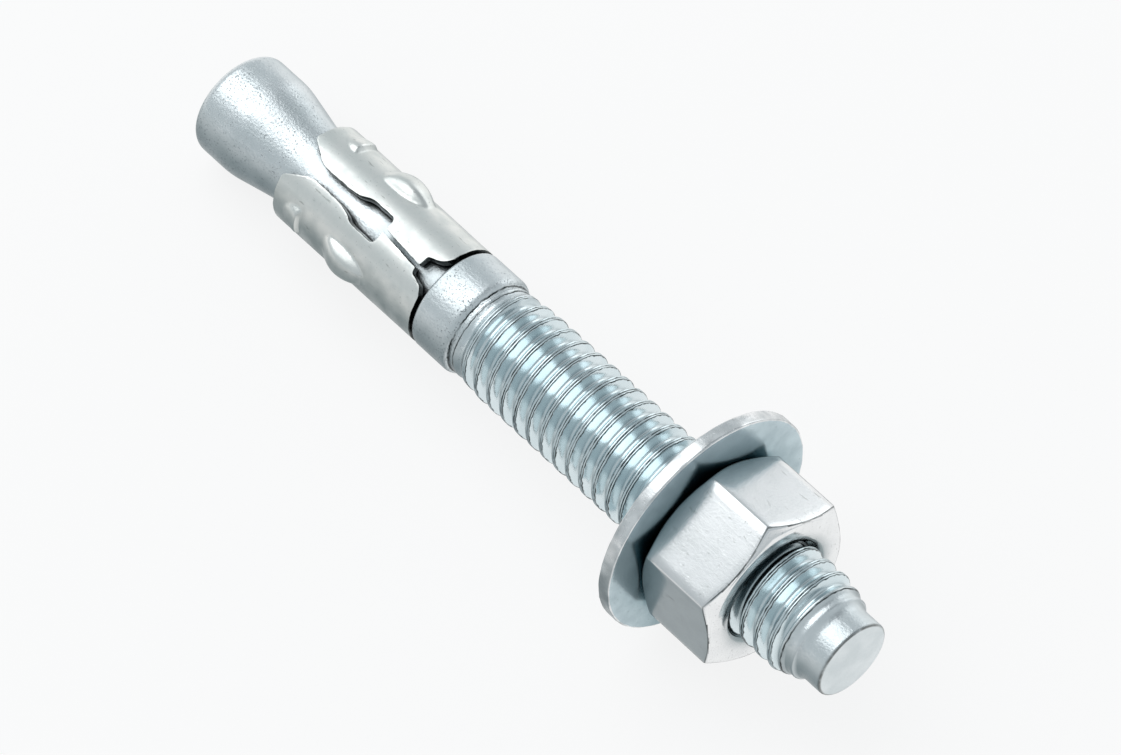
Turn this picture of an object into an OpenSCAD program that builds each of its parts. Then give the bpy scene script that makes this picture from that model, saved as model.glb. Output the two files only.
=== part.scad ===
// Wedge anchor, 3/8-16 x 3 in: stud with a cone head, rolled sheet expansion clip,
// flat washer and hex nut. Millimetres. Shown lying at rest on the cone's rim and
// the washer's rim, stud axis in the XZ plane, threaded end raised and towards +X.

/* [Shown] */
// Piece to build

/* [Stud] */
// Overall length of the stud
stud_length = 75.1; // [50:0.1:130]
// Radius of the short cylinder at the cone end
head_r = 4.85; // [3:0.01:8]
// Radius of the rounded edge of the cone end
head_edge_r = 1.0; // [0.2:0.05:2]
// Station where the cone starts to narrow
cone_start = 4.3; // [2:0.1:10]
// Cone angle to the axis, each side
cone_angle = 11.7; // [5:0.1:20]
// Radius of the neck under the clip
neck_r = 3.65; // [2:0.01:6]
// Radius of the smooth collar behind the clip
collar_r = 4.76; // [3:0.01:8]
// Station of the collar's face towards the clip
collar_start = 27.75; // [20:0.05:40]
// Station where the collar's cylinder ends
collar_end = 31.25; // [25:0.05:50]
// Radius of the plain end beyond the thread
dog_r = 3.56; // [2:0.01:6]
// Length of the plain end's cylinder
dog_length = 1.75; // [0.5:0.05:5]
// Edge radius of the plain end
dog_edge_r = 0.25; // [0.05:0.05:1]

/* [Thread] */
// Distance from crest to crest
pitch = 1.5875; // [1:0.0001:3]
// Radius over the thread's crests
crest_r = 4.64; // [3:0.01:8]
// Radius at the bottom of the thread's grooves
root_r = 3.80; // [2:0.01:7]
// Width of the crest's top, with its fine rolled seam
crest_width = 0.42; // [0.1:0.01:0.8]
// Depth of the rolled seam on the crest
seam_depth = 0.045; // [0:0.005:0.2]
// Station of a crest on the line facing sideways, +Y
crest_station = 44.245; // [40:0.001:50]
// Flat steps in one turn of the thread
thread_steps = 30; // [12:2:48]
// Radial gap between nut thread and stud thread
thread_gap = 0.15; // [0.05:0.01:0.4]

/* [Expansion clip] */
// Station of the clip's front edge, towards the cone
clip_front = 10.5; // [8:0.05:20]
// Station of the clip's rear edge
clip_rear = 27.4; // [20:0.05:40]
// Outer radius at the front edge
clip_front_r = 4.80; // [3:0.01:8]
// Outer radius at the rear edge
clip_rear_r = 4.72; // [3:0.01:8]
// Inner radius of the rolled sheet
clip_inner_r = 4.10; // [3:0.01:7]
// Number of leaves
leaves = 3; // [2:1:4]
// Direction of the seam slot round the axis, from +Y towards +Z
seam_direction = 109.4; // [0:0.1:360]
// Half width of a slot at its narrow part
slot_half = 0.68; // [0.3:0.01:1.5]
// Half width between the leaves at the front edge
slot_mouth_half = 2.05; // [0.5:0.01:3]
// Half width of the wide inner end of a slot
slot_end_half = 1.46; // [0.8:0.01:2.5]
// Corner radius of that end
slot_end_r = 0.60; // [0.1:0.05:1]
// Station where a slot ends
slot_end = 21.2; // [15:0.05:25]
// Half width of the open seam of the rolled sheet
seam_half = 0.20; // [0.05:0.01:0.5]
// How far the seam slants sideways on its way to the rear
seam_slant = 0.38; // [0:0.01:1]
// Half width of the worn notch at the seam's rear end
notch_half = 1.20; // [0.5:0.05:3]
// Depth of that notch
notch_depth = 1.70; // [0.5:0.05:4]
// Height of the large stamped bumps over the sheet
bump_height = 0.86; // [0.2:0.01:1.2]
// Half width of the large bumps
bump_half = 1.50; // [0.5:0.01:2.5]
// Station of the top of the large bumps
bump_station = 19.1; // [15:0.05:25]
// Length of a large bump's rounded front, towards the cone
bump_front = 2.6; // [1:0.05:5]
// Length of a large bump's pointed rear
bump_rear = 3.0; // [1:0.05:5]
// Height of the small stamped bumps
nib_height = 0.30; // [0.1:0.01:0.8]
// Half width of the small bumps
nib_half = 1.40; // [0.3:0.01:1.5]
// Station of the small bumps' top
nib_station = 13.3; // [11:0.05:16]
// Length of a small bump's front, towards the cone
nib_front = 1.6; // [0.5:0.05:3]
// Length of its steep rear
nib_rear = 0.40; // [0.1:0.05:2]

/* [Washer] */
// Outer radius
washer_r = 10.5; // [7:0.05:20]
// Bore radius
washer_bore_r = 5.20; // [4:0.01:10]
// Thickness
washer_thick = 1.25; // [0.5:0.01:3]
// Rounding of the rim's edges
washer_edge_r = 0.18; // [0.02:0.01:0.5]
// How far the loose washer sits off the stud axis, upwards at rest
washer_lift = 0.54; // [0:0.01:0.55]

/* [Nut] */
// Width across the flats
nut_flats = 14.1; // [10:0.05:24]
// Height of the nut
nut_height = 8.05; // [5:0.05:14]
// Station of the nut's bearing face
nut_station = 58.20; // [50:0.01:70]
// Angle of the corner chamfers to the face
nut_chamfer = 30; // [15:1:45]
// Radius of the flat ring on the nut's faces
nut_face_r = 6.75; // [5:0.05:10]
// Direction of one corner round the axis, from +Y towards +Z
nut_direction = 28.3; // [0:0.1:60]
// Radius of the thread's countersunk mouth
nut_mouth_r = 5.15; // [4.8:0.01:7]

/* [Hidden] */
steel_zinc = [0.80, 0.82, 0.84];
sheet_zinc = [0.78, 0.79, 0.76];
$fn = 96;

// resting tilt: line touching the rounded cone end and the washer's rear rim edge
washer_rear = nut_station - washer_thick - 0.02;
rest_a = [head_edge_r, head_r - head_edge_r];
rest_b = [washer_rear + washer_edge_r, washer_r - washer_edge_r - washer_lift];
rest_gap = norm(rest_b - rest_a);
tilt = atan2(rest_b[1] - rest_a[1], rest_b[0] - rest_a[0])
     + asin((washer_edge_r - head_edge_r) / rest_gap);
rest_height = rest_a[1] * cos(tilt) + head_edge_r - rest_a[0] * sin(tilt);
// ends of the box in X, so that the origin is under its middle
rest_low = head_edge_r * cos(tilt) - (head_r - head_edge_r) * sin(tilt) - head_edge_r;
rest_high = (stud_length - dog_edge_r) * cos(tilt) + (dog_r - dog_edge_r) * sin(tilt) + dog_edge_r;
rest_shift = -(rest_low + rest_high) / 2;

// points of an arc round [x, y]
function arc(x, y, r, from, to, n) =
    [for (i = [0:n]) let (a = from + (to - from) * i / n) [x + r * cos(a), y + r * sin(a)]];

// blend of radius r between a level line and a line falling at angle a, corner at [x, y]
function blend_out(x, y, r, a, n) =
    let (q = r * tan(a / 2)) arc(x - q, y - r, r, 90, 90 - a, n);
function blend_in(x, y, r, a, n) =
    let (q = r * tan(a / 2)) arc(x + q, y + r, r, 270 - a, 270, n);

// place the axis along X, then lay the part down at rest
module lay() {
    translate([rest_shift, 0, rest_height])
        rotate([0, -tilt, 0])
            rotate([90, 0, 90])
                children();
}

// turn a profile of [station, radius] points round the axis
module turned(points) {
    rotate_extrude()
        polygon([for (p = points) [p[1], p[0]]]);
}

// thread form
half_pitch = pitch / 2;
flank_run = half_pitch - crest_width / 2 - 0.184;

// knots of one thread form: [offset along the axis, share of the depth, seam]
form = [
    [-crest_width / 2 - flank_run, 0.82, 0],
    [-crest_width / 2, 0, 0],
    [0, 0, 1],
    [crest_width / 2, 0, 0],
    [crest_width / 2 + flank_run, 0.82, 0],
    [half_pitch, 1, 0]
];
knots = len(form);

function ramp(x, a, b) = x <= a ? 0 : x >= b ? 1 : (x - a) / (b - a);

// external radius limits along the stud, with run-in and run-out
thread_from = collar_end + 0.35;
thread_to = stud_length - dog_length - 1.90;
rise_r = collar_r - 0.46;
function crest_at(x) = rise_r + (crest_r - rise_r) * ramp(x, thread_from + 0.1, thread_from + 4)
                     - 0.42 * ramp(x, thread_to - 1, thread_to);
function root_at(x) = rise_r - 0.04
                    + (root_r - rise_r + 0.04) * ramp(x, thread_from + 1, thread_from + 3)
                    + 0.30 * ramp(x, thread_to - 1.25, thread_to);
function outer_radius(x, k) =
    let (c = crest_at(x), f = min(root_at(x), c))
    c - form[k][1] * (c - f) - form[k][2] * seam_depth;

// solid bounded by a helical surface between two flat ends
module helical_core(x0, x1, grow, limits) {
    n = thread_steps;
    first = floor((x0 - crest_station) / pitch) - 1;
    last = ceil((x1 - crest_station) / pitch) + 1;
    rows = (last - first + 1) * knots;
    function station(j, m) = crest_station
        + pitch * (first + floor(m / knots) + j / n) + form[m % knots][0];
    function radius(j, m) = let (x = station(j, m)) limits == 1
        ? outer_radius(max(x0, min(x1, x)), m % knots)
        : crest_r - form[m % knots][1] * (crest_r - root_r) + grow;
    function low(j) = len([for (m = [0:rows - 1]) if (station(j, m) <= x0 + 0.02) 1]) - 1;
    function high(j) = len([for (m = [0:rows - 1]) if (station(j, m) < x1 - 0.02) 1]);
    lows = [for (j = [0:n - 1]) low(j)];
    highs = [for (j = [0:n - 1]) high(j)];
    counts = [for (j = [0:n - 1]) highs[j] - lows[j] + 1];
    starts = [for (j = 0, s = 0; j < n; s = s + counts[j], j = j + 1) s];
    // first and last vertex of each column lie on the end planes
    points = [for (j = [0:n - 1], m = [lows[j]:highs[j]])
        let (a = 360 * j / n,
             x = m == lows[j] ? x0 : m == highs[j] ? x1 : station(j, m),
             q = m == lows[j] ? (x0 - station(j, m)) / (station(j, m + 1) - station(j, m))
               : m == highs[j] ? (x1 - station(j, m - 1)) / (station(j, m) - station(j, m - 1)) : 0,
             r = m == lows[j] ? radius(j, m) * (1 - q) + radius(j, m + 1) * q
               : m == highs[j] ? radius(j, m - 1) * (1 - q) + radius(j, m) * q : radius(j, m))
        [r * cos(a), r * sin(a), x]];
    // vertex of knot m in column j; column n is column 0 one turn on
    function vertex(j, m) = let (c = j % n, k = j == n ? m + knots : m)
        starts[c] + max(0, min(counts[c] - 1, k - lows[c]));
    low_all = min(lows) - knots;
    high_all = max(highs) + 1;
    sides = [for (j = [0:n - 1], m = [low_all:high_all])
        let (a = vertex(j, m), b = vertex(j, m + 1), c = vertex(j + 1, m + 1), d = vertex(j + 1, m))
        each [if (a != b && b != c) [a, b, c], if (c != d && d != a) [a, c, d]]];
    ends = [[for (j = [0:n - 1]) starts[j]],
            [for (j = [n - 1:-1:0]) starts[j] + counts[j] - 1]];
    polyhedron(points = points, faces = concat(sides, ends), convexity = 10);
}

module shank_solid() {
    turned(concat(
        [[0, 0]],
        arc(head_edge_r, head_r - head_edge_r, head_edge_r, 180, 90, 8),
        blend_out(cone_start, head_r, 8, cone_angle, 4),
        blend_in(cone_start + (head_r - neck_r) / tan(cone_angle), neck_r, 20, cone_angle, 4),
        [[collar_start - 0.3, neck_r]],
        arc(collar_start - 0.3, neck_r + 0.3, 0.3, 270, 360, 3),
        arc(collar_start + 0.3, collar_r - 0.3, 0.3, 180, 90, 4),
        arc(collar_end, collar_r - 0.9, 0.9, 90, 50, 4),
        [[collar_end + 0.78, 4.40], [collar_end + 0.98, 4.47], [collar_end + 1.20, 4.40],
         [collar_end + 1.6, 3.2], [collar_end + 1.6, 0]]
    ));
}

module dog_solid() {
    start = stud_length - dog_length;
    turned(concat(
        [[start - 2.9, 0], [start - 2.9, 3.0], [start - 2.15, 4.33], [start - 1.7, 4.20]],
        arc(start + 0.1, dog_r + 1.5, 1.5, 212, 270, 5),
        arc(stud_length - dog_edge_r, dog_r - dog_edge_r, dog_edge_r, 90, 0, 3),
        [[stud_length, 0]]
    ));
}

module stud() {
    color(steel_zinc) lay() union() {
        shank_solid();
        helical_core(thread_from, thread_to, 0, 1);
        dog_solid();
    }
}

// closed outline from one side's [station, width] points and their mirror image
function both_sides(side) =
    concat(side, [for (i = [len(side) - 1:-1:0]) [side[i][0], -side[i][1]]]);

// slot between two leaves, open at the front, wide at its inner end
module slot_outline() {
    throat = clip_front + 2.9;
    shoulder = slot_end - 3.7;
    taper = (slot_mouth_half - slot_half - 0.10) / 2.3;
    polygon(both_sides(concat(
        [[clip_front - 1, slot_mouth_half + taper], [throat - 0.6, slot_half + 0.10], [throat, slot_half],
         [shoulder - 1, slot_half + 0.05], [shoulder, slot_half + 0.24], [shoulder + 0.8, slot_end_half - 0.06]],
        arc(slot_end - slot_end_r, slot_end_half - slot_end_r, slot_end_r, 90, 0, 3)
    )));
}

// open seam, slanting a little, and the worn notch at its rear end
module seam_outline() {
    notch = clip_rear - notch_depth;
    polygon([
        [slot_end - 0.5, -seam_half - 0.10], [notch, seam_slant - seam_half - 0.10],
        [notch + 0.05, -notch_half + 0.25], [notch + 0.75, -notch_half + 0.02],
        [clip_rear - 0.40, -notch_half - 0.25], [clip_rear + 1, -notch_half - 2],
        [clip_rear + 1, notch_half + 2], [clip_rear - 0.45, notch_half + 0.20],
        [notch + 0.70, notch_half], [notch - 0.05, notch_half - 0.25],
        [notch - 0.10, seam_slant + seam_half - 0.10], [slot_end - 0.5, seam_half - 0.10]
    ]);
}

// cut an outline of [station, width] through the sheet on the side facing +X
module through_side() {
    mirror([1, 0, -1]) translate([0, 0, 1.5]) linear_extrude(height = 6) children();
}

// stamped bump on the side facing +X: rounded front towards the cone, rear drawn to a point
module bump(station, front, rear, height, half) {
    round_r = (half * half + height * height) / (2 * height);
    sunk = round_r - height;
    steps = 6;
    translate([(clip_front_r + clip_rear_r) / 2 - sunk, 0, station])
        rotate_extrude()
            polygon(concat(
                [[0, -front]],
                [for (i = [0:steps - 1]) [sunk + height * sin(90 * i / steps), -front * (1 - i / steps)]],
                [for (i = [0:steps]) [sunk + height * pow(cos(90 * i / steps), 2), rear * i / steps]],
                [[0, rear]]
            ));
}

module sheet_ring() {
    turned([
        [clip_front, clip_inner_r], [clip_front, clip_front_r - 0.12],
        [clip_front + 0.12, clip_front_r], [clip_rear - 0.2, clip_rear_r],
        [clip_rear, clip_rear_r - 0.16], [clip_rear, clip_inner_r]
    ]);
}

module leaf_bumps() {
    for (i = [0:leaves - 1])
        rotate([0, 0, seam_direction + 360 / leaves * (i + 0.5)]) {
            bump(bump_station, bump_front, bump_rear, bump_height, bump_half);
            bump(nib_station, nib_front, nib_rear, nib_height, nib_half);
        }
}

module expansion_clip() {
    color(sheet_zinc) lay() difference() {
        union() {
            sheet_ring();
            difference() {
                leaf_bumps();
                translate([0, 0, clip_front - 5]) cylinder(r = clip_inner_r, h = 30);
            }
        }
        for (i = [0:leaves - 1])
            rotate([0, 0, seam_direction + 360 / leaves * i])
                through_side() slot_outline();
        rotate([0, 0, seam_direction]) through_side() seam_outline();
    }
}

// flat washer, loose on the thread
module washer() {
    e = washer_edge_r;
    color(steel_zinc) lay()
        translate([0, washer_lift, washer_rear]) turned(concat(
            [[0, washer_bore_r + 0.1], [0.1, washer_bore_r], [washer_thick - 0.1, washer_bore_r],
             [washer_thick, washer_bore_r + 0.1]],
            arc(washer_thick - e, washer_r - e, e, 0, 90, 3),
            arc(e, washer_r - e, e, 90, 180, 3)
        ));
}

// hexagon with chamfered corners
module nut_blank() {
    corner = nut_flats / 2 / cos(30);
    rise = (corner + 0.5 - nut_face_r) * tan(nut_chamfer);
    intersection() {
        rotate([0, 0, nut_direction]) cylinder(r = corner, h = nut_height, $fn = 6);
        turned([[0, 0], [0, nut_face_r], [rise * 0.6, corner + 0.5], [nut_height - rise, corner + 0.5],
                [nut_height, nut_face_r], [nut_height, 0]]);
    }
}

module hex_nut() {
    color(steel_zinc) lay() difference() {
        translate([0, 0, nut_station]) nut_blank();
        helical_core(nut_station - 0.6, nut_station + nut_height + 0.6, thread_gap, 0);
        translate([0, 0, nut_station - 0.01])
            cylinder(r1 = nut_mouth_r, r2 = root_r, h = (nut_mouth_r - root_r) * 0.7);
        translate([0, 0, nut_station + nut_height + 0.01]) mirror([0, 0, 1])
            cylinder(r1 = nut_mouth_r, r2 = root_r, h = (nut_mouth_r - root_r) * 0.7);
    }
}

stud();
expansion_clip();
washer();
hex_nut();
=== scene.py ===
"""Wedge anchor: zinc-plated stud, rolled expansion clip, washer and nut, dressed as real metal."""
import math
import bpy
import bmesh
from mathutils import Matrix, Vector, noise
from mathutils.geometry import delaunay_2d_cdt


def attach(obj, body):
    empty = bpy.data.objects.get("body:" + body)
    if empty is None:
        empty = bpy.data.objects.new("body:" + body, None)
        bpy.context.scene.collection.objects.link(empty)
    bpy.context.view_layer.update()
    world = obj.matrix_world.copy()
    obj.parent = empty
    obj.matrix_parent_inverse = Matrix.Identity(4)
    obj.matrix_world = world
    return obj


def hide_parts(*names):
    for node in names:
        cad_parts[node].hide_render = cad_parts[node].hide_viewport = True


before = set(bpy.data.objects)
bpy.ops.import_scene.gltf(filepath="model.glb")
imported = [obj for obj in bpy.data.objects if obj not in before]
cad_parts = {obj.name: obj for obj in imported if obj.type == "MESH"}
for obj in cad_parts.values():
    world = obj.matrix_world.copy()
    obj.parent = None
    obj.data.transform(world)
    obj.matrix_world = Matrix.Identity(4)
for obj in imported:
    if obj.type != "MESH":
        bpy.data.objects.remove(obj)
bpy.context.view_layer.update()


# Sizes in millimetres, the same as in the part's source
MM = 0.001
STUD_LENGTH = 75.1
HEAD_R, HEAD_EDGE_R = 4.85, 1.0
CONE_START, CONE_ANGLE = 4.3, 11.7
NECK_R = 3.65
COLLAR_R, COLLAR_START, COLLAR_END = 4.76, 27.75, 31.25
DOG_R, DOG_LENGTH, DOG_EDGE_R = 3.56, 1.75, 0.25
PITCH, CREST_R, ROOT_R = 1.5875, 4.64, 3.80
CREST_HALF, SEAM_DEPTH, CREST_STATION = 0.21, 0.05, 44.245
CLIP_FRONT, CLIP_REAR = 10.5, 27.4
CLIP_FRONT_R, CLIP_REAR_R, CLIP_INNER_R = 4.80, 4.72, 4.10
LEAVES, SEAM_DIRECTION = 3, 109.4
SLOT_HALF, SLOT_MOUTH_HALF = 0.68, 2.05
SLOT_END_HALF, SLOT_END_R, SLOT_END = 1.46, 0.60, 21.2
SEAM_HALF, SEAM_SLANT = 0.20, 0.38
NOTCH_HALF, NOTCH_DEPTH = 1.20, 1.70
BUMP_HEIGHT, BUMP_HALF, BUMP_STATION, BUMP_FRONT, BUMP_REAR = 0.86, 1.57, 19.1, 2.5, 3.3
NIB_HEIGHT, NIB_HALF, NIB_STATION, NIB_FRONT, NIB_REAR = 0.42, 1.50, 13.5, 1.8, 0.30
WASHER_R, WASHER_BORE_R, WASHER_THICK, WASHER_EDGE_R = 10.5, 5.20, 1.25, 0.18
WASHER_LIFT = 0.54
NUT_FLATS, NUT_HEIGHT, NUT_STATION = 14.1, 8.05, 58.20
NUT_CHAMFER, NUT_FACE_R, NUT_DIRECTION, NUT_MOUTH_R = 30.0, 6.75, 28.3, 5.15
THREAD_GAP = 0.15

# The resting place of the stud's axis
WASHER_REAR = NUT_STATION - WASHER_THICK - 0.02
REST_A = (HEAD_EDGE_R, HEAD_R - HEAD_EDGE_R)
REST_B = (WASHER_REAR + WASHER_EDGE_R, WASHER_R - WASHER_EDGE_R - WASHER_LIFT)
REST_GAP = math.dist(REST_A, REST_B)
TILT = math.atan2(REST_B[1] - REST_A[1], REST_B[0] - REST_A[0]) + math.asin(
    (WASHER_EDGE_R - HEAD_EDGE_R) / REST_GAP
)
REST_HEIGHT = REST_A[1] * math.cos(TILT) + HEAD_EDGE_R - REST_A[0] * math.sin(TILT)
REST_LOW = HEAD_EDGE_R * (math.cos(TILT) - 1) - REST_A[1] * math.sin(TILT)
REST_HIGH = (
    (STUD_LENGTH - DOG_EDGE_R) * math.cos(TILT)
    + (DOG_R - DOG_EDGE_R) * math.sin(TILT)
    + DOG_EDGE_R
)
REST_SHIFT = -(REST_LOW + REST_HIGH) / 2
AXIS = Vector((math.cos(TILT), 0, math.sin(TILT)))
LIFTED = Vector((-math.sin(TILT), 0, math.cos(TILT)))
SIDE = Vector((0, 1, 0))
ORIGIN = Vector((REST_SHIFT, 0, REST_HEIGHT))


def place(station, angle, radius):
    """World point in metres, from millimetres along the axis and radians round it, from +Y towards +Z."""
    out = SIDE * (radius * math.cos(angle)) + LIFTED * (radius * math.sin(angle))
    return (ORIGIN + AXIS * station + out) * MM


def smooth(x, a, b):
    """0 before a, 1 after b, with a smooth rise between."""
    t = min(1.0, max(0.0, (x - a) / (b - a)))
    return t * t * (3 - 2 * t)


def ramp(x, a, b):
    return min(1.0, max(0.0, (x - a) / (b - a)))


def arc(x, y, r, start, end, n):
    """Points of an arc round (x, y), angles in degrees."""
    turns = [math.radians(start + (end - start) * i / n) for i in range(n + 1)]
    return [(x + r * math.cos(t), y + r * math.sin(t)) for t in turns]


def blend_out(x, y, r, a, n):
    q = r * math.tan(math.radians(a / 2))
    return arc(x - q, y - r, r, 90, 90 - a, n)


def blend_in(x, y, r, a, n):
    q = r * math.tan(math.radians(a / 2))
    return arc(x + q, y + r, r, 270 - a, 270, n)


def rough(x, y, z, size):
    """Smooth noise from -1 to 1 with features of the given size in millimetres."""
    return noise.noise(Vector((x, y, z)) / size)


def mesh_object(name, points, faces, smooth_shaded=True):
    mesh = bpy.data.meshes.new(name)
    mesh.from_pydata(points, [], faces)
    mesh.validate()
    mesh.update()
    if smooth_shaded:
        mesh.shade_smooth()
    made = bpy.data.objects.new(name, mesh)
    bpy.context.scene.collection.objects.link(made)
    return made


def merged(obj, distance):
    """Joins doubled points and turns every face outwards."""
    bm = bmesh.new()
    bm.from_mesh(obj.data)
    bmesh.ops.remove_doubles(bm, verts=bm.verts, dist=distance * MM)
    bmesh.ops.recalc_face_normals(bm, faces=bm.faces)
    bm.to_mesh(obj.data)
    bm.free()


def grid_faces(rows, columns, closed=True):
    """Quads over a grid of points stored row by row."""
    faces = []
    for i in range(rows - 1):
        for j in range(columns if closed else columns - 1):
            k = (j + 1) % columns
            faces.append((i * columns + j, i * columns + k, (i + 1) * columns + k, (i + 1) * columns + j))
    return faces


# Stud
STUD_COLUMNS = 120
THREAD_FROM = COLLAR_END + 0.35
THREAD_TO = STUD_LENGTH - DOG_LENGTH - 1.90
RISE_R = COLLAR_R - 0.46
FLANK_SLOPE = 1 / math.tan(math.radians(30))
FORM_OFFSETS = (0.0, 0.035, 0.075, 0.13, 0.18, 0.22, 0.27, 0.34, 0.42, 0.50, 0.58, 0.65, 0.72, PITCH / 2)


def crest_at(x):
    return (
        RISE_R
        + (CREST_R - RISE_R) * ramp(x, THREAD_FROM + 0.1, THREAD_FROM + 4)
        - 0.42 * ramp(x, THREAD_TO - 1, THREAD_TO)
    )


def root_at(x):
    return (
        RISE_R
        - 0.04
        + (ROOT_R - RISE_R + 0.04) * smooth(x, THREAD_FROM + 0.6, THREAD_FROM + 3.2)
        + 0.30 * ramp(x, THREAD_TO - 1.25, THREAD_TO)
    )


def flank_share(offset):
    """Share of the thread's depth lost at a distance from the crest's middle, with rounded corners."""
    depth = CREST_R - ROOT_R
    drop = max(0.0, (offset - CREST_HALF + 0.02) * FLANK_SLOPE)
    if offset < CREST_HALF + 0.05:
        drop = max(0.0, offset - CREST_HALF + 0.06) ** 2 * 7.5
    share = drop / depth
    return share if share < 0.7 else 1 - 0.3 * math.exp(-(share - 0.7) / 0.3)


def stud_radius(x, offset, angle):
    """Radius of the threaded part, with worn crests, a rolled seam and slight waviness."""
    crest = crest_at(x)
    root = min(root_at(x), crest - 0.02)
    turn = angle / (2 * math.pi)
    wear = 0.5 + 0.5 * rough(x * 0.6, math.cos(angle) * 4, math.sin(angle) * 4, 2.6)
    chips = max(0.0, rough(x, math.cos(angle) * 4.6 + 9, math.sin(angle) * 4.6, 0.45) - 0.25)
    near_top = max(0.0, 1 - abs(offset) / 0.30)
    share = flank_share(abs(offset))
    wander = 0.03 * rough(3 * turn, x * 0.2, 1.7, 0.6)
    groove = math.exp(-(((offset - wander) / 0.045) ** 2))
    lost = (SEAM_DEPTH + 0.03 * wear) * groove + near_top * (0.03 * wear + 0.06 * chips)
    return crest - share * (crest - root) - lost * smooth(crest - root, 0.05, 0.5)


def thread_grid():
    """Rows that follow the helix, clamped to the thread's two ends."""
    offsets = [-o for o in reversed(FORM_OFFSETS[1:-1])] + list(FORM_OFFSETS)
    first = math.floor((THREAD_FROM - CREST_STATION) / PITCH) - 1
    last = math.ceil((THREAD_TO - CREST_STATION) / PITCH) + 1
    points = []
    rows = 0
    for turn in range(first, last + 1):
        for offset in offsets:
            rows += 1
            for j in range(STUD_COLUMNS):
                angle = 2 * math.pi * j / STUD_COLUMNS
                x = CREST_STATION + PITCH * (turn + j / STUD_COLUMNS) + offset
                at = min(THREAD_TO, max(THREAD_FROM, x))
                points.append(place(at, angle, stud_radius(at, offset, angle)))
    faces = []
    for i in range(rows - 1):
        for j in range(STUD_COLUMNS):
            k = j + 1
            jump = 0 if k < STUD_COLUMNS else len(offsets)
            k %= STUD_COLUMNS
            if i + 1 + jump >= rows:
                continue
            quad = [(i, j), (i + jump, k), (i + 1 + jump, k), (i + 1, j)]
            faces.append([r * STUD_COLUMNS + c for r, c in quad])
    return points, faces


def shank_profile():
    """Cone, neck and collar as [station, radius] points."""
    neck_start = CONE_START + (HEAD_R - NECK_R) / math.tan(math.radians(CONE_ANGLE))
    lip = COLLAR_END + 0.98
    head = [(0, 0.02), (0, 1.5), (0, 3.0)]
    head += arc(HEAD_EDGE_R, HEAD_R - HEAD_EDGE_R, HEAD_EDGE_R, 180, 90, 12)
    head += [(x, HEAD_R) for x in (1.6, 2.2, 2.8, 3.3)]
    head += blend_out(CONE_START, HEAD_R, 8, CONE_ANGLE, 8)
    head += blend_in(neck_start, NECK_R, 20, CONE_ANGLE, 8)
    body = arc(COLLAR_START - 0.3, NECK_R + 0.3, 0.3, 270, 360, 4)
    body += arc(COLLAR_START + 0.3, COLLAR_R - 0.3, 0.3, 180, 90, 6)
    body += [(x, COLLAR_R) for x in (28.6, 29.3, 30.0)]
    body += arc(COLLAR_END, COLLAR_R - 0.9, 0.9, 90, 52, 6)
    body += [(lip - 0.24, RISE_R + 0.06), (lip - 0.10, RISE_R + 0.15), (lip + 0.02, RISE_R + 0.17)]
    body += [(lip + 0.14, RISE_R + 0.12), (lip + 0.26, RISE_R + 0.02), (lip + 0.6, RISE_R - 0.8)]
    return head + body


def dog_profile():
    start = STUD_LENGTH - DOG_LENGTH
    points = [(start - 2.9, 3.0), (start - 2.35, 4.10), (start - 2.18, 4.32), (start - 2.05, 4.36), (start - 1.93, 4.30)]
    points += [(start - 1.70, 4.08), (start - 1.50, 3.98)]
    points += arc(start - 0.05, DOG_R + 1.2, 1.2, 218, 270, 7)
    points += [(STUD_LENGTH - 1.1, DOG_R), (STUD_LENGTH - 0.7, DOG_R)]
    points += arc(STUD_LENGTH - DOG_EDGE_R, DOG_R - DOG_EDGE_R, DOG_EDGE_R, 90, 0, 6)
    points += [(STUD_LENGTH, DOG_R - 0.7), (STUD_LENGTH, 1.6), (STUD_LENGTH, 0.02)]
    return points


def refined(profile, step):
    """The profile with long straight stretches divided."""
    out = [profile[0]]
    for (x0, y0), (x1, y1) in zip(profile, profile[1:]):
        n = max(1, math.ceil(math.dist((x0, y0), (x1, y1)) / step))
        out += [(x0 + (x1 - x0) * i / n, y0 + (y1 - y0) * i / n) for i in range(1, n + 1)]
    return out


def turned(profile, columns, dent, centre=0.0):
    """Points and faces of a turned form; dent(station, angle) is taken off the radius."""
    points = []
    for x, r in profile:
        for j in range(columns):
            angle = 2 * math.pi * j / columns
            point = place(x, angle, max(0.01, r - dent(x, angle)))
            points.append(point + LIFTED * centre * MM)
    return points, grid_faces(len(profile), columns)


def shank_dent(x, angle):
    """Shallow hammer and forming marks; deeper ones where the lip runs rough."""
    y, z = math.cos(angle) * 4.7, math.sin(angle) * 4.7
    mark = 0.012 * (1 + rough(x * 0.35, y, z, 1.9)) + 0.006 * (1 + rough(x, y, z, 0.6))
    lip = math.exp(-(((x - COLLAR_END - 0.95) / 0.5) ** 2))
    return mark + lip * (0.05 * (1 + rough(x, y, z, 0.9)) + 0.03 * (1 + rough(x, y, z, 0.35)))


def joined(name, *parts):
    points, faces = [], []
    for more_points, more_faces in parts:
        base = len(points)
        points += more_points
        faces += [[base + i for i in face] for face in more_faces]
    made = mesh_object(name, points, faces)
    merged(made, 0.0005)
    made.data.shade_smooth()
    return made


def build_stud():
    shank = turned(refined(shank_profile(), 0.45), STUD_COLUMNS, shank_dent)
    dog = turned(refined(dog_profile(), 0.4), STUD_COLUMNS, lambda x, a: 0.5 * shank_dent(x, a))
    return joined("stud_skin", shank, thread_grid(), dog)


# Expansion clip
SHEET_R = (CLIP_FRONT_R + CLIP_REAR_R) / 2
CLIP_STEP = 0.17


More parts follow.
